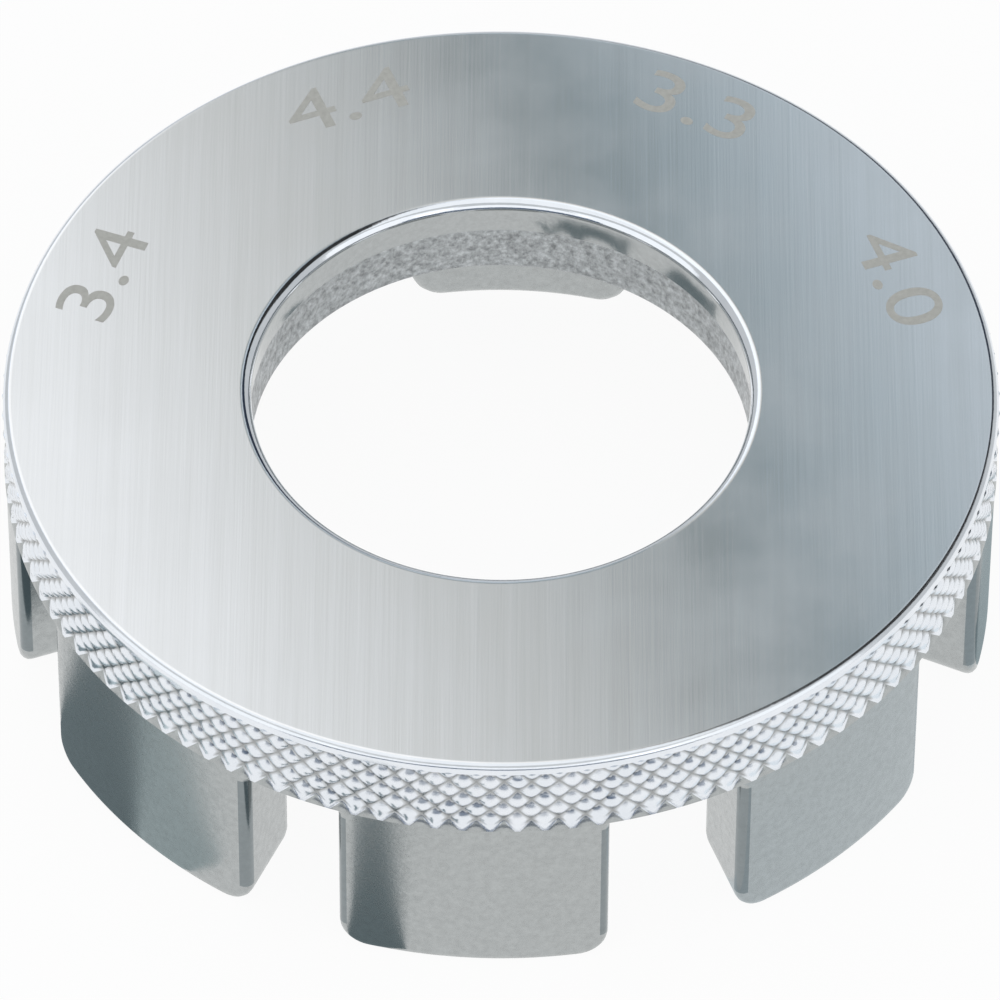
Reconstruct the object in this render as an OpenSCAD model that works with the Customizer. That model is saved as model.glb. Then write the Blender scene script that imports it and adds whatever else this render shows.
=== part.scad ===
// Round spoke wrench: a bored disc with a diamond-knurled rim, and eight jaw lugs below it.
// The flat sides of neighbouring lugs are the jaws of a slot that grips a spoke nipple.
// Z = 0 is the plane that the lugs stand on, and the Z axis is the axis of the bore.
// Slot 0 lies on +X, and the slots follow each other anticlockwise, seen from above.

/* [Disc] */
// Diameter over the crests of the knurl
rim_d = 40; // [34:0.5:50]
// Thickness of the disc
disc_t = 3.8; // [2.5:0.05:6]
// Diameter of the centre bore
bore_d = 20; // [12:0.5:23]
// Radius of the rounded mouth of the bore
mouth_r = 0.45; // [0.2:0.05:1.2]
// Radius of the small round at the lower edge of the bore
bore_break = 0.15; // [0.05:0.05:0.4]
// Radius of the rounded edge of the top face
edge_r = 0.3; // [0.1:0.05:0.45]
// Height of the plain band above the knurl, with the rounded edge
band_h = 0.45; // [0.45:0.05:1]

/* [Knurl] */
// Diamonds in one turn of the rim
knurl_count = 116; // [60:4:140]
// Height of one diamond, fitted to whole half diamonds
diamond_h = 1.05; // [0.8:0.05:1.6]
// Depth of the grooves between the diamonds
knurl_depth = 0.3; // [0.1:0.05:0.4]
// Wall of the knurled ring behind the grooves
rim_wall = 0.4; // [0.3:0.05:1]

/* [Jaw lugs] */
// Height of the lugs below the disc
lug_h = 8.2; // [5:0.1:12]
// Radial wall of the lugs
lug_wall = 4; // [3:0.1:4.6]
// How far the crests of the knurl stand out past the lugs
lug_inset = 0.05; // [0.05:0.05:0.6]
// Radius of the upright outer corners of a lug
outer_corner_r = 0.5; // [0.2:0.05:1.2]
// Radius of the upright inner corners of a lug
inner_corner_r = 0.65; // [0.2:0.05:1]
// Radius of the corners at the foot of a lug, where the slots beside it open downwards
foot_corner_r = 1.25; // [0.2:0.05:1.5]
// Radius of the rounded outer edge at the foot of a lug
outer_foot_r = 0.4; // [0.1:0.05:0.8]
// Radius of the rounded inner edge at the foot of a lug
inner_foot_r = 0.65; // [0.1:0.05:0.8]
// Size of the 45 degree flare where the side of a lug meets the disc
root_flare = 0.4; // [0.2:0.05:0.8]

/* [Nipple slots] */
// Width of the slot at 0 degrees
slot_0_w = 4; // [3:0.05:6]
// Width of the slot at 45 degrees
slot_45_w = 3.3; // [3:0.05:6]
// Width of the slot at 90 degrees
slot_90_w = 4.4; // [3:0.05:6]
// Width of the slot at 135 degrees
slot_135_w = 3.4; // [3:0.05:6]
// Width of the slot at 180 degrees
slot_180_w = 4.3; // [3:0.05:6]
// Width of the slot at 225 degrees
slot_225_w = 3.8; // [3:0.05:6]
// Width of the slot at 270 degrees
slot_270_w = 5.4; // [3:0.05:6]
// Width of the slot at 315 degrees
slot_315_w = 5.7; // [3:0.05:6]

/* [Hidden] */
$fn = 96;

// How far a cut runs past the surface that it opens
overrun = 1;

slot_ws = [slot_0_w, slot_45_w, slot_90_w, slot_135_w, slot_180_w, slot_225_w, slot_270_w, slot_315_w];
slot_count = len(slot_ws);
slot_pitch = 360 / slot_count;

rim_r = rim_d / 2;
groove_r = rim_r - knurl_depth;
seat_r = groove_r - rim_wall;
bore_r = bore_d / 2;
top_z = lug_h + disc_t;
band_z = top_z - band_h;
knurl_h = band_z - lug_h;

lug_r = rim_r - lug_inset;
lug_inner_r = lug_r - lug_wall;

brushed_steel = [0.80, 0.82, 0.83];
bright_chrome = [0.88, 0.90, 0.92];
satin_steel = [0.62, 0.65, 0.65];

// Cut that rounds the outer edge of a disc of radius r, whose face is at height z
module round_outer_edge(r, z, edge) {
    rotate_extrude()
        difference() {
            translate([r - edge, z - edge]) square(edge + overrun);
            translate([r - edge, z - edge]) circle(edge);
        }
}

// Cut that rounds the edge of a hole of radius r, whose mouth is at height z
module round_hole_edge(r, z, edge) {
    rotate_extrude()
        difference() {
            translate([r - overrun, z - edge]) square([overrun + edge, edge + overrun]);
            translate([r + edge, z - edge]) circle(edge);
        }
}

module top_disc() {
    color(brushed_steel)
        difference() {
            union() {
                translate([0, 0, lug_h]) cylinder(r = seat_r, h = disc_t);
                translate([0, 0, band_z]) cylinder(r = lug_r, h = band_h);
            }
            translate([0, 0, lug_h - overrun]) cylinder(r = bore_r, h = disc_t + 2 * overrun);
            round_outer_edge(lug_r, top_z, edge_r);
            round_hole_edge(bore_r, top_z, mouth_r);
            mirror([0, 0, 1]) round_hole_edge(bore_r, -lug_h, bore_break);
        }
}

// The knurl is a grid of points: crests and groove crossings take turns along and up the rim
knurl_cols = 2 * knurl_count;
knurl_rows = max(2, round(2 * knurl_h / diamond_h));
// The inner wall has flat facets, which touch the seat from outside at their middles
inner_wall_r = seat_r / cos(180 / knurl_cols);

function is_crossing(i, j) = (i + j) % 2 == 0;
function rim_point(r, i, z) = let (a = 360 * i / knurl_cols) [r * cos(a), r * sin(a), z];
function knurl_point(i, j) =
    rim_point(is_crossing(i, j) ? groove_r : rim_r, i, lug_h + knurl_h * j / knurl_rows);
// Number of the grid point in column i and row j
function at(i, j) = j * knurl_cols + i % knurl_cols;
inner_row = knurl_rows + 1;

knurl_points = concat(
    [for (j = [0 : knurl_rows], i = [0 : knurl_cols - 1]) knurl_point(i, j)],
    [for (z = [lug_h, band_z], i = [0 : knurl_cols - 1]) rim_point(inner_wall_r, i, z)]
);

// Two triangles that fill a cell of the grid, split along the groove that crosses it
function cell_faces(i, j) = is_crossing(i, j)
    ? [[at(i, j), at(i + 1, j + 1), at(i + 1, j)], [at(i, j), at(i, j + 1), at(i + 1, j + 1)]]
    : [[at(i, j), at(i, j + 1), at(i + 1, j)], [at(i + 1, j), at(i, j + 1), at(i + 1, j + 1)]];

// Two triangles between two rows of points that face the same way as the row order says
function strip_faces(i, low, high) =
    [[at(i, low), at(i + 1, high), at(i + 1, low)], [at(i, low), at(i, high), at(i + 1, high)]];

knurl_faces = concat(
    [for (j = [0 : knurl_rows - 1], i = [0 : knurl_cols - 1], f = cell_faces(i, j)) f],
    [for (i = [0 : knurl_cols - 1], f = strip_faces(i, inner_row, 0)) f],
    [for (i = [0 : knurl_cols - 1], f = strip_faces(i, knurl_rows, inner_row + 1)) f],
    [for (i = [0 : knurl_cols - 1], f = strip_faces(i, inner_row + 1, inner_row)) f]
);

module knurled_rim() {
    color(bright_chrome) polyhedron(points = knurl_points, faces = knurl_faces, convexity = 4);
}

// Where a circle round the axis meets the line that runs beside a slot's centre line
function along_at(r, across) = sqrt(r * r - across * across);

// Cut that rounds one upright corner of a lug, where the circle of radius r meets the lug's side.
// The side lies half_w across from the slot's centre line, and sense is +1 at the outer circle
// and -1 at the inner one. The cut stops at the flare under the disc.
module corner_cut(half_w, r, corner, sense) {
    mid_r = r - sense * corner;
    mid_across = half_w + corner;
    mid = [along_at(mid_r, mid_across), mid_across];
    translate([0, 0, -overrun])
        linear_extrude(lug_h - root_flare + overrun)
            difference() {
                polygon([
                    mid,
                    mid * (r + sense * overrun) / mid_r,
                    [along_at(r, half_w) + sense * overrun, half_w - overrun],
                    [mid[0], half_w - overrun]
                ]);
                translate(mid) circle(corner);
            }
}

// Both upright corners on one side of a lug, beside a slot that lies along +X
module corner_cuts(half_w) {
    corner_cut(half_w, lug_r, outer_corner_r, 1);
    corner_cut(half_w, lug_inner_r, inner_corner_r, -1);
}

// Opening between two lugs, seen along the slot: rounded out at the foot, flared in at the disc
module slot_section(half_w) {
    foot_half_w = half_w + foot_corner_r;
    roof_half_w = half_w - root_flare;
    difference() {
        polygon([
            [-foot_half_w, -overrun], [foot_half_w, -overrun],
            [foot_half_w, foot_corner_r], [half_w, foot_corner_r],
            [half_w, lug_h - root_flare], [roof_half_w, lug_h],
            [roof_half_w, lug_h + overrun], [-roof_half_w, lug_h + overrun],
            [-roof_half_w, lug_h], [-half_w, lug_h - root_flare],
            [-half_w, foot_corner_r], [-foot_half_w, foot_corner_r]
        ]);
        for (side = [-1, 1])
            translate([side * foot_half_w, foot_corner_r]) circle(foot_corner_r);
    }
}

// Slot that lies along +X, cut from inside the ring of lugs to outside it
module slot_cut(half_w) {
    translate([lug_inner_r / 2, 0, 0])
        rotate([90, 0, 90])
            linear_extrude(rim_r) slot_section(half_w);
}

// Ring that the lugs are cut from, with its outer and inner foot edges rounded
module foot_ring() {
    difference() {
        cylinder(r = lug_r, h = lug_h);
        translate([0, 0, -overrun]) cylinder(r = lug_inner_r, h = lug_h + 2 * overrun);
        mirror([0, 0, 1]) round_outer_edge(lug_r, 0, outer_foot_r);
        mirror([0, 0, 1]) round_hole_edge(lug_inner_r, 0, inner_foot_r);
    }
}

// Sector between the centre lines of a slot that lies along +X and of the next slot
module sector() {
    reach = (rim_r + overrun) / cos(slot_pitch / 2);
    linear_extrude(lug_h)
        polygon([[0, 0], [reach, 0], reach * [cos(slot_pitch), sin(slot_pitch)]]);
}

// The lug that stands between slot k and the next one
module jaw_lug(k) {
    half_a = slot_ws[k] / 2;
    half_b = slot_ws[(k + 1) % slot_count] / 2;
    color(satin_steel)
        rotate([0, 0, k * slot_pitch])
            difference() {
                intersection() {
                    foot_ring();
                    sector();
                }
                slot_cut(half_a);
                corner_cuts(half_a);
                rotate([0, 0, slot_pitch])
                    mirror([0, 1, 0]) {
                        slot_cut(half_b);
                        corner_cuts(half_b);
                    }
            }
}

module jaw_lug_1() { jaw_lug(0); }
module jaw_lug_2() { jaw_lug(1); }
module jaw_lug_3() { jaw_lug(2); }
module jaw_lug_4() { jaw_lug(3); }
module jaw_lug_5() { jaw_lug(4); }
module jaw_lug_6() { jaw_lug(5); }
module jaw_lug_7() { jaw_lug(6); }
module jaw_lug_8() { jaw_lug(7); }

top_disc();
knurled_rim();
jaw_lug_1();
jaw_lug_2();
jaw_lug_3();
jaw_lug_4();
jaw_lug_5();
jaw_lug_6();
jaw_lug_7();
jaw_lug_8();
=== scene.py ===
import math

import bmesh
import bpy
from mathutils import Matrix, Vector, noise

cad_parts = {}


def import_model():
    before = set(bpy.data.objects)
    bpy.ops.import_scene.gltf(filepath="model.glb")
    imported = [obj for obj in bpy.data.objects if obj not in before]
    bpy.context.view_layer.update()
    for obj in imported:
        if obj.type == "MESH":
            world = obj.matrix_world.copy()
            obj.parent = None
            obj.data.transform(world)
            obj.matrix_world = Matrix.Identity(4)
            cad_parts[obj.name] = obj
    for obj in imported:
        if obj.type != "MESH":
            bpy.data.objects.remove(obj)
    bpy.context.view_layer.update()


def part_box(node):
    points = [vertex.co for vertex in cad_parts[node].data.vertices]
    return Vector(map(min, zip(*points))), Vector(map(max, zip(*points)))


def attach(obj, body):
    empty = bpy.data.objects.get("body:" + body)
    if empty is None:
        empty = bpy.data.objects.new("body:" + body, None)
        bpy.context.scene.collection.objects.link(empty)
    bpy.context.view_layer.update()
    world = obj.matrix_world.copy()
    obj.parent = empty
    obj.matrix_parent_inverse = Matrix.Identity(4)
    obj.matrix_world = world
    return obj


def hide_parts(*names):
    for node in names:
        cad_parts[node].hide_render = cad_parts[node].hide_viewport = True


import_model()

# Sizes that the frame gives, in metres
MM = 0.001
TOP_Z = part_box("top_disc")[1][2]
BAND_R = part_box("top_disc")[1][0]
RIM_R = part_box("knurled_rim")[1][0]
BAND_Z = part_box("knurled_rim")[1][2]
LUG_TOP_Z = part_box("jaw_lug_1")[1][2]

# Width of the extra faces that keep a flat surface flat beside a rounded edge
FLAT_MARGIN = 0.04 * MM

# How close a point is to a surface that it counts as on
NEAR = 0.01 * MM

# Disc
SPIN_STEPS = 256
SEAT_R = 19.3 * MM
EDGE_R = 0.3 * MM
EDGE_STEPS = 8
MOUTH_R = 0.45 * MM
MOUTH_STEPS = 10
MOUTH_TOP_DEPTH = 0.28 * MM
POLISHED_BORE_R = 10.0 * MM
CAST_BORE_R = 10.07 * MM
CAST_TOP_DEPTH = 1.6 * MM
CAST_GRAIN = 0.03 * MM
CAST_GRAINS_PER_MM = 1.3
CAST_RINGS = 7
BORE_FOOT_R = 0.15 * MM
BORE_FOOT_STEPS = 3

# Knurl: diamonds round the rim and up it, and the grid of faces on each one
KNURL_COUNT = 116
KNURL_ROWS = 3
DIAMOND_H = (BAND_Z - LUG_TOP_Z) / KNURL_ROWS
DIAMOND_CELLS = 6
CROWD_POWER = 1.5
KNURL_DEPTH = 0.2 * MM
DEPTH_VARIATION = 0.3
DEPTH_WAVES = 37
PILLOW_POWER = 2.0
RUN_OUT_H = 0.4 * MM
KNURL_ATTRIBUTE = "knurl_height"

# Share of a diamond's height, up from the knurl's foot, that keeps the lugs' satin finish
SATIN_FOOT = 0.45

# Lugs
LUG_COUNT = 8
LUG_R = 19.95 * MM
LUG_INNER_R = 15.95 * MM
SLOT_WIDTHS = [4, 3.3, 4.4, 3.4, 4.3, 3.8, 5.4, 5.7]
FOOT_CORNER_R = 1.25 * MM
FOOT_CORNER_STEPS = 10
OUTER_EDGE_R = 0.45 * MM
INNER_EDGE_R = 0.65 * MM
LUG_EDGE_STEPS = 4
ROOT_R = 0.4 * MM
LUG_STEPS = 26
ROOT_STEPS = 5

# Share of a lug's half width, each way from its middle, over which one side's fit passes to the other's
BEND_SHARE = 0.6

# Camera, on the photograph's side of the part
CAMERA_AZIMUTH = -110.75
CAMERA_ELEVATION = 48.5
CAMERA_DISTANCE = 0.4268
CAMERA_ROLL = 0.317
CAMERA_LENS = 387.24
AIM = Vector((-0.00216, -0.00565, TOP_Z))


def on_ring(radius, degrees, z=0.0):
    """Point at a radius and an angle round the bore axis."""
    angle = math.radians(degrees)
    return Vector((radius * math.cos(angle), radius * math.sin(angle), z))


def arc(centre, radius, start, end, steps):
    """Points of an arc in a lathe profile, from one angle to the other."""
    angles = [math.radians(start + (end - start) * i / steps) for i in range(steps + 1)]
    return [(centre[0] + radius * math.cos(a), centre[1] + radius * math.sin(a)) for a in angles]


def lathe(profile):
    """Ring that a closed profile of radius and height sweeps round the bore axis."""
    bm = bmesh.new()
    verts = [bm.verts.new((r, 0, z)) for r, z in profile]
    edges = [bm.edges.new(pair) for pair in zip(verts, verts[1:] + verts[:1])]
    bmesh.ops.spin(
        bm, geom=verts + edges, cent=(0, 0, 0), axis=(0, 0, 1),
        angle=math.tau, steps=SPIN_STEPS, use_merge=True,
    )
    bmesh.ops.recalc_face_normals(bm, faces=bm.faces)
    return bm


def finished(name, bm, materials, node, sharp_angle=40):
    """Makes a piece of a bmesh, with its materials, and hides the given node of the model, if one is given.
    """
    mesh = bpy.data.meshes.new(name)
    bm.to_mesh(mesh)
    bm.free()
    for material in materials:
        mesh.materials.append(material)
    mesh.shade_smooth()
    mesh.set_sharp_from_angle(angle=math.radians(sharp_angle))
    piece = bpy.data.objects.new(name, mesh)
    bpy.context.scene.collection.objects.link(piece)
    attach(piece, "root")
    if node:
        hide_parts(node)


# Materials

def metal(name, colour, roughness):
    """Metal with its colour and roughness set on the shader, and the nodes to build on."""
    material = bpy.data.materials.new(name)
    material.use_nodes = True
    nodes = material.node_tree.nodes
    shader = nodes["Principled BSDF"]
    shader.inputs["Base Color"].default_value = (*colour, 1)
    shader.inputs["Metallic"].default_value = 1
    shader.inputs["Roughness"].default_value = roughness
    return material, nodes, material.node_tree.links, shader


def pattern(nodes, links, scale, stretch=(1, 1, 1), turn=0.0, detail=4, roughness=0.6):
    """Noise on the piece's own place, stretched along the piece's axes after a turn about Z."""
    coordinates = nodes.new("ShaderNodeTexCoord")
    mapping = nodes.new("ShaderNodeMapping")
    mapping.vector_type = "TEXTURE"
    mapping.inputs["Rotation"].default_value = (0, 0, math.radians(turn))
    mapping.inputs["Scale"].default_value = stretch
    texture = nodes.new("ShaderNodeTexNoise")
    texture.inputs["Scale"].default_value = scale
    texture.inputs["Detail"].default_value = detail
    texture.inputs["Roughness"].default_value = roughness
    links.new(coordinates.outputs["Object"], mapping.inputs["Vector"])
    links.new(mapping.outputs["Vector"], texture.inputs["Vector"])
    return texture.outputs["Fac"]


def spread(nodes, links, value, low, high, to_low, to_high):
    """Maps a range of a value onto another range."""
    mapped = nodes.new("ShaderNodeMapRange")
    for socket, number in zip(("From Min", "From Max", "To Min", "To Max"), (low, high, to_low, to_high)):
        mapped.inputs[socket].default_value = number
    links.new(value, mapped.inputs["Value"])
    return mapped.outputs["Result"]


def blend(nodes, links, value, dark, light):
    """Colour that goes from dark to light as a value goes from 0 to 1."""
    ramp = nodes.new("ShaderNodeValToRGB")
    ramp.color_ramp.elements[0].color = (*dark, 1)
    ramp.color_ramp.elements[1].color = (*light, 1)
    links.new(value, ramp.inputs["Fac"])
    return ramp.outputs["Color"]


def relief(nodes, links, shader, layers):
    """Stacks bump layers of (height, depth) onto a shader."""
    below = None
    for height, depth in layers:
        bump = nodes.new("ShaderNodeBump")
        bump.inputs["Distance"].default_value = depth
        links.new(height, bump.inputs["Height"])
        if below:
            links.new(below, bump.inputs["Normal"])
        below = bump.outputs["Normal"]
    links.new(below, shader.inputs["Normal"])


def brushed_face():
    """Top face: plated steel brushed in lines that run from the front to the back."""
    material, nodes, links, shader = metal("brushed_face", (0.85, 0.85, 0.85), 0.14)
    lines = pattern(nodes, links, 9000, stretch=(90, 1, 1), turn=CAMERA_AZIMUTH, detail=3)
    bands = pattern(nodes, links, 1600, stretch=(30, 1, 1), turn=CAMERA_AZIMUTH, detail=3)
    smudges = pattern(nodes, links, 160, detail=5)
    tint = spread(nodes, links, bands, 0.3, 0.7, 0, 1)
    colour = blend(nodes, links, tint, (0.83, 0.83, 0.825), (0.87, 0.87, 0.87))
    links.new(colour, shader.inputs["Base Color"])
    links.new(spread(nodes, links, smudges, 0.35, 0.65, 0.12, 0.17), shader.inputs["Roughness"])
    relief(nodes, links, shader, [(lines, 0.0009 * MM), (bands, 0.001 * MM)])
    return material


def bright_plate(name, roughness, painted_groove_shade=False):
    """Bright plating on the bore's mouth, the rolled edge and the knurl, with painted shade darkening the
    knurl's grooves.
    """
    material, nodes, links, shader = metal(name, (0.82, 0.86, 0.90), roughness)
    pits = pattern(nodes, links, 2600, detail=3)
    cloud = pattern(nodes, links, 500, detail=4)
    tint = spread(nodes, links, cloud, 0.3, 0.7, 0, 1)
    colour = blend(nodes, links, tint, (0.78, 0.82, 0.87), (0.86, 0.89, 0.93))
    if painted_groove_shade:
        # Painted shade: the base colour turns dark grey down in the knurl's grooves, where shade falls
        height = nodes.new("ShaderNodeAttribute")
        height.attribute_name = KNURL_ATTRIBUTE
        groove_shade = nodes.new("ShaderNodeMix")
        groove_shade.data_type = "RGBA"
        groove_shade.inputs["A"].default_value = (0.36, 0.37, 0.37, 1)
        links.new(spread(nodes, links, height.outputs["Fac"], 0.0, 0.4, 0, 1), groove_shade.inputs["Factor"])
        links.new(colour, groove_shade.inputs["B"])
        colour = groove_shade.outputs["Result"]
    links.new(colour, shader.inputs["Base Color"])
    haze = spread(nodes, links, cloud, 0.3, 0.7, roughness * 0.75, roughness * 1.25)
    links.new(haze, shader.inputs["Roughness"])
    relief(nodes, links, shader, [(pits, 0.004 * MM)])
    return material


def satin_plate(name, base, grain_depth, contrast, roughness):
    """Satin plating over the grain of the blank: the lugs, and the wall of the bore."""
    material, nodes, links, shader = metal(name, base, roughness)
    grain = pattern(nodes, links, 8000, detail=4)
    mottle = pattern(nodes, links, 3400, detail=5, roughness=0.7)
    dark = [level * (1 - contrast) for level in base]
    light = [level * (1 + contrast) for level in base]
    tint = spread(nodes, links, mottle, 0.35, 0.65, 0, 1)
    links.new(blend(nodes, links, tint, dark, light), shader.inputs["Base Color"])
    haze = spread(nodes, links, mottle, 0.3, 0.7, roughness * 1.15, roughness * 0.85)
    links.new(haze, shader.inputs["Roughness"])
    relief(nodes, links, shader, [(mottle, grain_depth * 2), (grain, grain_depth)])
    return material


def etching():
    """Matte etched figures."""
    material, nodes, links, shader = metal("etching", (0.6, 0.59, 0.55), 0.6)
    shader.inputs["Metallic"].default_value = 0.15
    speckle = pattern(nodes, links, 5000, detail=3)
    tint = spread(nodes, links, speckle, 0.3, 0.7, 0, 1)
    colour = blend(nodes, links, tint, (0.44, 0.44, 0.41), (0.52, 0.52, 0.49))
    links.new(colour, shader.inputs["Base Color"])
    return material


BRUSHED = brushed_face()
BRIGHT = bright_plate("bright_plate", 0.1)
ROLLED = bright_plate("rolled_edge", 0.18)
KNURLED = bright_plate("knurled_plate", 0.24, painted_groove_shade=True)
SATIN = satin_plate("satin_plate", (0.43, 0.45, 0.45), 0.0025 * MM, 0.07, 0.26)
# Painted shade: a darker, glossier plating on the lugs' rounded upright corners that stands in for the dark
# reflection along them
CORNER_SHADE = satin_plate("corner_painted_shade", (0.24, 0.27, 0.28), 0.001 * MM, 0.05, 0.14)
BORED = satin_plate("bored_wall", (0.43, 0.45, 0.45), 0.0004 * MM, 0.05, 0.12)
CAST = satin_plate("cast_wall", (0.42, 0.44, 0.45), 0.025 * MM, 0.38, 0.34)
ETCHED = etching()


# Disc with its bore

def disc():
    """Disc turned from one profile: cast lower bore wall, rounded mouth, flat face and rolled edge."""
    cast_top_z = TOP_Z - CAST_TOP_DEPTH
    foot_z = LUG_TOP_Z + BORE_FOOT_R
    cast_h = cast_top_z - foot_z
    cast_wall = [(CAST_BORE_R, foot_z + cast_h * i / CAST_RINGS) for i in range(CAST_RINGS + 1)]
    profile = (
        arc((CAST_BORE_R + BORE_FOOT_R, foot_z), BORE_FOOT_R, 270, 180, BORE_FOOT_STEPS)[:-1]
        + cast_wall
        + arc((POLISHED_BORE_R + MOUTH_R, TOP_Z - MOUTH_R), MOUTH_R, 180, 90, MOUTH_STEPS)
        + [(POLISHED_BORE_R + MOUTH_R + FLAT_MARGIN, TOP_Z), (BAND_R - EDGE_R - FLAT_MARGIN, TOP_Z)]
        + arc((BAND_R - EDGE_R, TOP_Z - EDGE_R), EDGE_R, 90, 0, EDGE_STEPS)
        + [(BAND_R, BAND_Z), (SEAT_R, BAND_Z), (SEAT_R, LUG_TOP_Z)]
    )
    bm = lathe(profile)
    for vert in bm.verts:
        radius = vert.co.xy.length
        if radius < CAST_BORE_R + NEAR and foot_z < vert.co.z < cast_top_z - NEAR:
            grain = noise.fractal(vert.co / MM * CAST_GRAINS_PER_MM, 0.6, 2.0, 4)
            vert.co.xy *= 1 + grain * CAST_GRAIN / radius
    finishes = [BRUSHED, BRIGHT, CAST, BORED, ROLLED]
    for face in bm.faces:
        middle = face.calc_center_median()
        if middle.z > TOP_Z - NEAR:
            finish = BRUSHED
        elif middle.xy.length > SEAT_R:
            finish = ROLLED
        elif middle.z < cast_top_z:
            finish = CAST
        elif middle.z < TOP_Z - MOUTH_TOP_DEPTH:
            finish = BORED
        else:
            finish = BRIGHT
        face.material_index = finishes.index(finish)
    finished("bored_disc", bm, finishes, "top_disc")


# Knurled rim

def groove_distance(value):
    """0 in a groove and 1 midway between two grooves."""
    part = value % 1
    return 2 * min(part, 1 - part)


def pillow(value):
    """Rounded rise from 0 in a groove to 1 midway between two grooves."""
    return 1 - (1 - groove_distance(value)) ** PILLOW_POWER


def knurl_height(point):
    """1 on the knurl's crests and 0 in its grooves, at a point of the rim."""
    turn = math.atan2(point.y, point.x) / math.tau * KNURL_COUNT
    rise = (point.z - LUG_TOP_Z) / DIAMOND_H
    return pillow(turn + rise) * pillow(turn - rise)


def crowd(value):
    """Moves the grid lines of a diamond, from -1 to 1, closer to the grooves beside it."""
    return math.copysign(1 - (1 - abs(value)) ** CROWD_POWER, value)


def knurl():
    """Pillowed diamonds between crossing grooves; the half diamonds at the foot run on into the lugs."""
    diamond_w = math.tau / KNURL_COUNT
    bm = bmesh.new()
    diamond = bmesh.ops.create_grid(bm, x_segments=DIAMOND_CELLS, y_segments=DIAMOND_CELLS, size=1)["verts"]
    for vert in diamond:
        u, v = crowd(vert.co.x), crowd(vert.co.y)
        vert.co = 0.5 + (u + v) / 4, (u - v) / 4, 0
    first = bm.verts[:] + bm.edges[:] + bm.faces[:]
    for row in range(1, 2 * KNURL_ROWS + 1):
        copy = bmesh.ops.duplicate(bm, geom=first)["geom"]
        moved = [part for part in copy if isinstance(part, bmesh.types.BMVert)]
        bmesh.ops.translate(bm, verts=moved, vec=((row % 2) / 2, row / 2, 0))
    for vert in bm.verts:
        vert.co = on_ring(RIM_R, math.degrees(vert.co.x * diamond_w), LUG_TOP_Z + vert.co.y * DIAMOND_H)
    bmesh.ops.spin(
        bm, geom=bm.verts[:] + bm.edges[:] + bm.faces[:], cent=(0, 0, 0), axis=(0, 0, 1),
        angle=math.tau * (KNURL_COUNT - 1) / KNURL_COUNT, steps=KNURL_COUNT - 1, use_duplicate=True,
    )
    bmesh.ops.remove_doubles(bm, verts=bm.verts, dist=MM / 1000)
    for z, above, below in ((LUG_TOP_Z, False, True), (BAND_Z, True, False)):
        bmesh.ops.bisect_plane(
            bm, geom=bm.verts[:] + bm.edges[:] + bm.faces[:], dist=MM / 10000,
            plane_co=(0, 0, z), plane_no=(0, 0, 1), clear_outer=above, clear_inner=below,
        )
    height = bm.verts.layers.float.new(KNURL_ATTRIBUTE)
    for vert in bm.verts:
        groove = (1 - knurl_height(vert.co)) * min(1, (vert.co.z - LUG_TOP_Z) / RUN_OUT_H)
        vert[height] = 1 - groove
        depth = KNURL_DEPTH * (1 + DEPTH_VARIATION * noise.noise(vert.co.normalized() * DEPTH_WAVES))
        vert.co.xy = vert.co.xy.normalized() * (RIM_R - groove * depth)
    rim_edges = [edge for edge in bm.edges if edge.is_boundary]
    inner = bmesh.ops.extrude_edge_only(bm, edges=rim_edges)["geom"]
    inner_edges = [part for part in inner if isinstance(part, bmesh.types.BMEdge) and part.is_boundary]
    for vert in {vert for edge in inner_edges for vert in edge.verts}:
        vert.co.xy = vert.co.xy.normalized() * SEAT_R
    bmesh.ops.bridge_loops(bm, edges=inner_edges)
    bmesh.ops.recalc_face_normals(bm, faces=bm.faces)
    finishes = [KNURLED, SATIN]
    for face in bm.faces:
        middle = face.calc_center_median()
        turn = math.atan2(middle.y, middle.x) / math.tau * KNURL_COUNT
        rise = (middle.z - LUG_TOP_Z) / DIAMOND_H
        under_rim = middle.z < LUG_TOP_Z + MM / 1000
        is_satin = under_rim or abs(turn % 1 - 0.5) + rise < SATIN_FOOT
        face.material_index = finishes.index(SATIN if is_satin else KNURLED)
    finished("knurl", bm, finishes, "knurled_rim", sharp_angle=75)


# Jaw lugs

def round_edges(bm, radius, segments, chosen):
    """Rounds the edges that pass a test."""
    edges = [edge for edge in bm.edges if chosen(edge)]
    bmesh.ops.bevel(
        bm, geom=edges, offset=radius, affect="EDGES", segments=segments, profile=0.5, material=-1
    )


def slice_at(bm, place, normal):
    """Cuts new edges into every face that a plane crosses."""
    bmesh.ops.bisect_plane(
        bm, geom=bm.verts[:] + bm.edges[:] + bm.faces[:], dist=MM / 10000, plane_co=place, plane_no=normal
    )


def root_flare(point, reach):
    """How far a point near the disc moves out towards the slot, in the fillet at the slot's root."""
    rise = max(0, point.z - (LUG_TOP_Z - ROOT_R))
    flare = ROOT_R - math.sqrt(max(0, ROOT_R ** 2 - rise ** 2))
    return flare * max(0, 1 - (reach - abs(point.x)) / (2 * ROOT_R))


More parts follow.
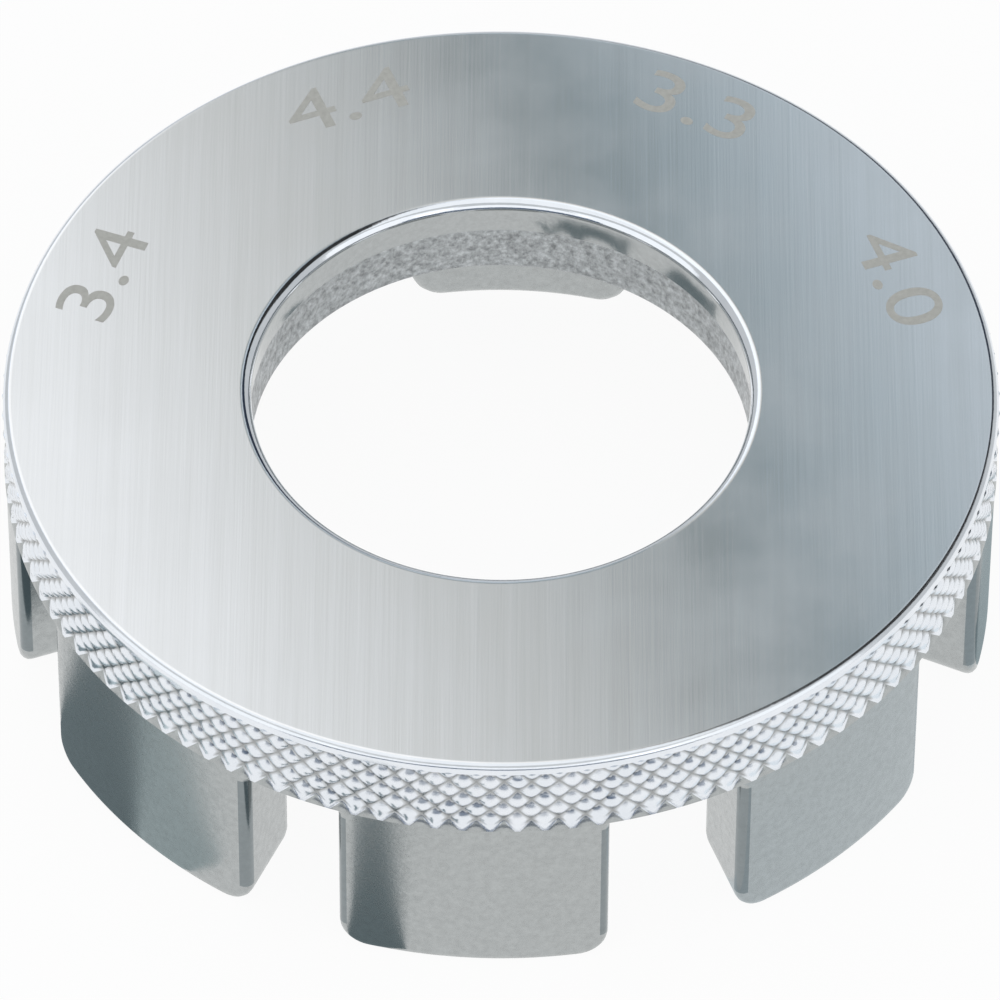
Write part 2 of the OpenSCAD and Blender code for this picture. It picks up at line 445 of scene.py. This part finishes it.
def lug(index):
    """The lug between a slot and the next one: a straight block with rounded edges, bent round the axis."""
    pitch = math.tau / LUG_COUNT
    half_a = SLOT_WIDTHS[index] * MM / 2
    half_b = SLOT_WIDTHS[(index + 1) % LUG_COUNT] * MM / 2
    reach = LUG_R * (pitch - math.asin(half_a / LUG_R) - math.asin(half_b / LUG_R)) / 2
    bm = bmesh.new()
    bmesh.ops.create_cube(bm, size=1)
    bmesh.ops.scale(bm, vec=(2 * reach, LUG_R - LUG_INNER_R, LUG_TOP_Z), verts=bm.verts)
    bmesh.ops.translate(bm, vec=(0, (LUG_R + LUG_INNER_R) / 2, LUG_TOP_Z / 2), verts=bm.verts)
    for side in (-1, 1):
        round_edges(
            bm, FOOT_CORNER_R, FOOT_CORNER_STEPS,
            lambda edge: all(v.co.z < NEAR and v.co.x * side > reach - NEAR for v in edge.verts),
        )
    for wall_y, corner in ((LUG_R, OUTER_EDGE_R), (LUG_INNER_R, INNER_EDGE_R)):
        round_edges(
            bm, corner, LUG_EDGE_STEPS,
            lambda edge: all(abs(v.co.y - wall_y) < NEAR for v in edge.verts)
            and any(v.co.z <= LUG_TOP_Z - NEAR for v in edge.verts),
        )
    for step in range(1, LUG_STEPS):
        slice_at(bm, (reach * (2 * step / LUG_STEPS - 1), 0, 0), (1, 0, 0))
    for y in (LUG_R - OUTER_EDGE_R - FLAT_MARGIN, LUG_INNER_R + INNER_EDGE_R + FLAT_MARGIN):
        slice_at(bm, (0, y, 0), (0, 1, 0))
    for rounded_z in (OUTER_EDGE_R, INNER_EDGE_R, FOOT_CORNER_R):
        slice_at(bm, (0, 0, rounded_z + FLAT_MARGIN), (0, 0, 1))
    slice_at(bm, (0, 0, LUG_TOP_Z - ROOT_R - FLAT_MARGIN), (0, 0, 1))
    for step in range(ROOT_STEPS):
        slice_at(bm, (0, 0, LUG_TOP_Z - ROOT_R * (1 - (step / ROOT_STEPS) ** 2)), (0, 0, 1))
    finishes = [SATIN, CORNER_SHADE]
    for face in bm.faces:
        middle = face.calc_center_median()
        # The rounded upright corners take the painted-shade plating, darker than the rest of the lug
        in_corner = min(abs(middle.x) - reach, middle.y - LUG_R) > -OUTER_EDGE_R
        is_upright = FOOT_CORNER_R < middle.z < LUG_TOP_Z - ROOT_R - FLAT_MARGIN
        face.material_index = finishes.index(CORNER_SHADE if in_corner and is_upright else SATIN)
    for vert in bm.verts:
        radius = vert.co.y
        x = vert.co.x + math.copysign(root_flare(vert.co, reach), vert.co.x)
        from_a = math.asin((half_a + reach + x) / radius)
        from_b = pitch - math.asin((half_b + reach - x) / radius)
        share = min(1, max(0, (x / reach + BEND_SHARE) / (2 * BEND_SHARE)))
        turn = index * pitch + from_a + (from_b - from_a) * share
        vert.co = on_ring(radius, math.degrees(turn), vert.co.z)
    bmesh.ops.recalc_face_normals(bm, faces=bm.faces)
    finished(f"lug_{index + 1}", bm, finishes, f"jaw_lug_{index + 1}")


# Etched numbers: the width of the slot that each one stands by, its angle and its radius in mm

MARKS = [("4.0", -0.25, 17.04), ("3.3", 42.15, 17.38), ("4.4", 91.2, 16.9), ("3.4", 138.85, 17.11)]
MARK_SIZE = 3.3 * MM
MARK_WIDENING = 1.35
MARK_DEPTH = 0.01 * MM


def etched_number(text, degrees, radius):
    """Thin figures set in the top face, with their tops towards the rim."""
    curve = bpy.data.curves.new("etched_" + text.replace(".", "_"), "FONT")
    curve.body = text
    curve.align_x = "CENTER"
    curve.align_y = "CENTER"
    curve.size = MARK_SIZE
    curve.extrude = MARK_DEPTH
    source = bpy.data.objects.new(curve.name, curve)
    bpy.context.scene.collection.objects.link(source)
    bpy.context.view_layer.update()
    mesh = bpy.data.meshes.new_from_object(source.evaluated_get(bpy.context.evaluated_depsgraph_get()))
    bpy.data.objects.remove(source)
    bm = bmesh.new()
    bm.from_mesh(mesh)
    bmesh.ops.remove_doubles(bm, verts=bm.verts, dist=MM / 10000)
    place = Matrix.Translation(on_ring(radius * MM, degrees, TOP_Z))
    turn = Matrix.Rotation(math.radians(degrees - 90), 4, "Z")
    widen = Matrix.Diagonal((MARK_WIDENING, 1, 1, 1))
    bmesh.ops.transform(bm, matrix=place @ turn @ widen, verts=bm.verts)
    finished("number_" + text.replace(".", "_"), bm, [ETCHED], None)


disc()
knurl()
for lug_index in range(LUG_COUNT):
    lug(lug_index)
for mark in MARKS:
    etched_number(*mark)


# Floor, light and camera

FLOOR_SIZE = 3.0
FLOOR_DROP = 0.02 * MM
FLOOR_WHITE = 0.94
WORLD_LEVEL = 0.62
SOFTBOX_DISTANCE = 0.40
CARD_DISTANCE = 0.30

# Flags, painted reflections that show only in the metal: how high those on the floor lie above the lugs'
# feet, in mm, and what they glow with
FLAG_LIFT = 0.01
DARK_GLOW = (0.03, 0.03, 0.03)
BLUE_GLOW = (0.07, 0.11, 0.18)
TEAL_GLOW = (0.21, 0.26, 0.28)
GREY_GLOW = (0.52, 0.60, 0.62)
STEEL_GLOW = (0.40, 0.48, 0.51)
PALE_GLOW = (0.84, 0.89, 0.92)

# Backdrop: its size, the lean of its dark band, and its glow at places across it, in mm
BACKDROP_SIZE = (0.34, 0.26)
BACKDROP_SPAN = 0.16
BAND_LEAN = 24
BACKDROP_STOPS = [
    (-45, (1.15, 1.17, 1.2)), (-26, (0.92, 0.95, 0.98)), (-8, (0.60, 0.62, 0.62)), (3, (0.52, 0.54, 0.55)),
    (10, (0.12, 0.16, 0.17)), (20, (0.34, 0.42, 0.47)), (34, (0.60, 0.67, 0.74)), (56, (0.60, 0.67, 0.74)),
    (66, (0.03, 0.04, 0.06)),
]


def floor():
    """Pale floor just under the feet, nearly white to the camera, that keeps a share of the shadow."""
    material = bpy.data.materials.new("pale_floor")
    material.use_nodes = True
    nodes, links = material.node_tree.nodes, material.node_tree.links
    shader = nodes["Principled BSDF"]
    shader.inputs["Base Color"].default_value = (0.9, 0.9, 0.9, 1)
    shader.inputs["Roughness"].default_value = 0.9
    shader.inputs["Specular IOR Level"].default_value = 0.0
    white = nodes.new("ShaderNodeEmission")
    ray = nodes.new("ShaderNodeLightPath")
    share = None
    for kind in ("Is Camera Ray", "Is Glossy Ray", "Is Transmission Ray"):
        total = nodes.new("ShaderNodeMath")
        total.operation = "MAXIMUM"
        total.inputs[1].default_value = 0
        links.new(ray.outputs[kind], total.inputs[0])
        if share:
            links.new(share, total.inputs[1])
        share = total.outputs["Value"]
    mix = nodes.new("ShaderNodeMixShader")
    links.new(spread(nodes, links, share, 0, 1, 0, FLOOR_WHITE), mix.inputs["Fac"])
    links.new(shader.outputs["BSDF"], mix.inputs[1])
    links.new(white.outputs["Emission"], mix.inputs[2])
    links.new(mix.outputs["Shader"], nodes["Material Output"].inputs["Surface"])
    bm = bmesh.new()
    bmesh.ops.create_grid(bm, x_segments=1, y_segments=1, size=FLOOR_SIZE / 2)
    bmesh.ops.translate(bm, vec=(0, 0, -FLOOR_DROP), verts=bm.verts)
    mesh = bpy.data.meshes.new("floor")
    bm.to_mesh(mesh)
    bm.free()
    mesh.materials.append(material)
    plane = bpy.data.objects.new("floor", mesh)
    bpy.context.scene.collection.objects.link(plane)


def world():
    studio = bpy.data.worlds.new("studio")
    studio.use_nodes = True
    background = studio.node_tree.nodes["Background"]
    background.inputs["Color"].default_value = (0.97, 0.99, 1, 1)
    background.inputs["Strength"].default_value = WORLD_LEVEL
    bpy.context.scene.world = studio


def facing(position, target, roll=0.0):
    """Place of a lamp or camera that looks from a position to a target."""
    look = (target - position).to_track_quat("-Z", "Y").to_matrix().to_4x4()
    return Matrix.Translation(position) @ look @ Matrix.Rotation(math.radians(roll), 4, "Z")


def around(azimuth, elevation, distance):
    """Place that faces the disc from a distance, at an azimuth from the back of the picture."""
    rise = math.radians(elevation)
    centre = Vector((0, 0, TOP_Z))
    way = on_ring(math.cos(rise), CAMERA_AZIMUTH + 180 + azimuth, math.sin(rise))
    return facing(centre + way * distance, centre)


def softbox(name, azimuth, elevation, size, radiance):
    """Area lamp that shines on the part from around it."""
    lamp = bpy.data.lights.new(name, "AREA")
    lamp.shape = "RECTANGLE"
    lamp.size, lamp.size_y = size
    lamp.energy = radiance * math.pi * size[0] * size[1]
    box = bpy.data.objects.new(name, lamp)
    box.matrix_world = around(azimuth, elevation, SOFTBOX_DISTANCE)
    bpy.context.scene.collection.objects.link(box)


def card(name, size, place, material):
    """Flat studio card, centred on its place."""
    bm = bmesh.new()
    bmesh.ops.create_grid(bm, x_segments=1, y_segments=1, size=0.5)
    bmesh.ops.scale(bm, vec=(*size, 1), verts=bm.verts)
    mesh = bpy.data.meshes.new(name)
    bm.to_mesh(mesh)
    bm.free()
    mesh.materials.append(material)
    sheet = bpy.data.objects.new(name, mesh)
    sheet.matrix_world = place
    bpy.context.scene.collection.objects.link(sheet)
    return sheet


def backdrop_light():
    """Glow of the backdrop: bright at the picture's left, a dark band, then a cool grey."""
    material = bpy.data.materials.new("backdrop_light")
    material.use_nodes = True
    nodes, links = material.node_tree.nodes, material.node_tree.links
    nodes.remove(nodes["Principled BSDF"])
    coordinates = nodes.new("ShaderNodeTexCoord")
    mapping = nodes.new("ShaderNodeMapping")
    mapping.inputs["Rotation"].default_value = (0, 0, math.radians(BAND_LEAN))
    apart = nodes.new("ShaderNodeSeparateXYZ")
    ramp = nodes.new("ShaderNodeValToRGB")
    ramp.color_ramp.interpolation = "EASE"
    stops = ramp.color_ramp.elements
    while len(stops) < len(BACKDROP_STOPS):
        stops.new(0.5)
    for stop, (place, colour) in zip(stops, BACKDROP_STOPS):
        stop.position = 0.5 + place * MM / BACKDROP_SPAN
        stop.color = (*colour, 1)
    glow = nodes.new("ShaderNodeEmission")
    half = BACKDROP_SPAN / 2
    links.new(coordinates.outputs["Object"], mapping.inputs["Vector"])
    links.new(mapping.outputs["Vector"], apart.inputs["Vector"])
    links.new(spread(nodes, links, apart.outputs["X"], -half, half, 0, 1), ramp.inputs["Fac"])
    links.new(ramp.outputs["Color"], glow.inputs["Color"])
    links.new(glow.outputs["Emission"], nodes["Material Output"].inputs["Surface"])
    return material


def backdrop():
    """Card behind the part that its flat face reflects, out of sight of every camera."""
    place = around(0, CAMERA_ELEVATION, CARD_DISTANCE) @ Matrix.Rotation(math.pi, 4, "Y")
    sheet = card("backdrop", BACKDROP_SIZE, place, backdrop_light())
    sheet.visible_camera = False


def flag(name, size, place, glow):
    """Painted reflection: a card with a dark, grey or pale glow that shows only as a reflection in the
    metal.
    """
    material = bpy.data.materials.new(name)
    material.use_nodes = True
    shader = material.node_tree.nodes["Principled BSDF"]
    shader.inputs["Base Color"].default_value = (0, 0, 0, 1)
    shader.inputs["Specular IOR Level"].default_value = 0
    shader.inputs["Emission Color"].default_value = (*glow, 1)
    shader.inputs["Emission Strength"].default_value = 1
    sheet = card(name, size, place, material)
    sheet.visible_camera = False
    sheet.visible_diffuse = False
    sheet.visible_shadow = False


def floor_flag(name, start, heading, length, width, glow):
    """Painted reflection of shade and light on the floor: a flag that lies on the floor, from a start in mm
    on its centre line, for the upright walls.
    """
    turn = Matrix.Rotation(math.radians(heading), 4, "Z")
    lift = Vector((*start, FLAG_LIFT)) * MM
    place = Matrix.Translation(lift) @ turn @ Matrix.Translation((length * MM / 2, 0, 0))
    flag(name, (length * MM, width * MM), place, glow)


def camera():
    view = bpy.data.cameras.new("camera")
    view.sensor_width = 36
    view.lens = CAMERA_LENS
    view.clip_start = 0.01
    eye = bpy.data.objects.new("camera", view)
    elevation = math.radians(CAMERA_ELEVATION)
    way = on_ring(math.cos(elevation), CAMERA_AZIMUTH, math.sin(elevation))
    eye.matrix_world = facing(AIM + way * CAMERA_DISTANCE, AIM, roll=CAMERA_ROLL)
    bpy.context.scene.collection.objects.link(eye)
    bpy.context.scene.camera = eye


floor()
world()
camera()
backdrop()
# Painted reflections: glowing flags, dark, grey and pale, that show only in the metal; those on the floor
# stand for shade and light on the floor beside the lugs and in the bore
flag("mouth_flag", (0.5, 0.08), around(180, 4, CARD_DISTANCE), BLUE_GLOW)
flag("rim_flag", (0.20, 0.17), around(-50, 57, CARD_DISTANCE), DARK_GLOW)
floor_flag("left_flag", (-16.8, -5.2), 156.75, 13, 6, TEAL_GLOW)
floor_flag("left_grey_flag", (-17.3, -9.9), 160, 12, 4, GREY_GLOW)
floor_flag("front_lug_flag", (-11.3, -16.2), -140, 10, 2.6, TEAL_GLOW)
floor_flag("far_right_flag", (16.6, -10.8), 52, 11, 6, STEEL_GLOW)
floor_flag("right_front_flag", (2.9, -23), 22, 18, 10, PALE_GLOW)
floor_flag("bore_flag", (-1.75, 1.2), 94, 3.6, 1.8, TEAL_GLOW)
floor_flag("bore_side_flag", (-0.5, 7.1), 28, 4.2, 1.4, TEAL_GLOW)
softbox("overhead_box", 0, 90, (0.40, 0.40), 0.42)
softbox("left_box", 120, 25, (0.36, 0.34), 0.48)
softbox("right_box", -130, 25, (0.36, 0.34), 0.48)
softbox("front_box", 180, 22, (0.50, 0.22), 0.48)
bpy.context.scene.view_settings.view_transform = "Standard"
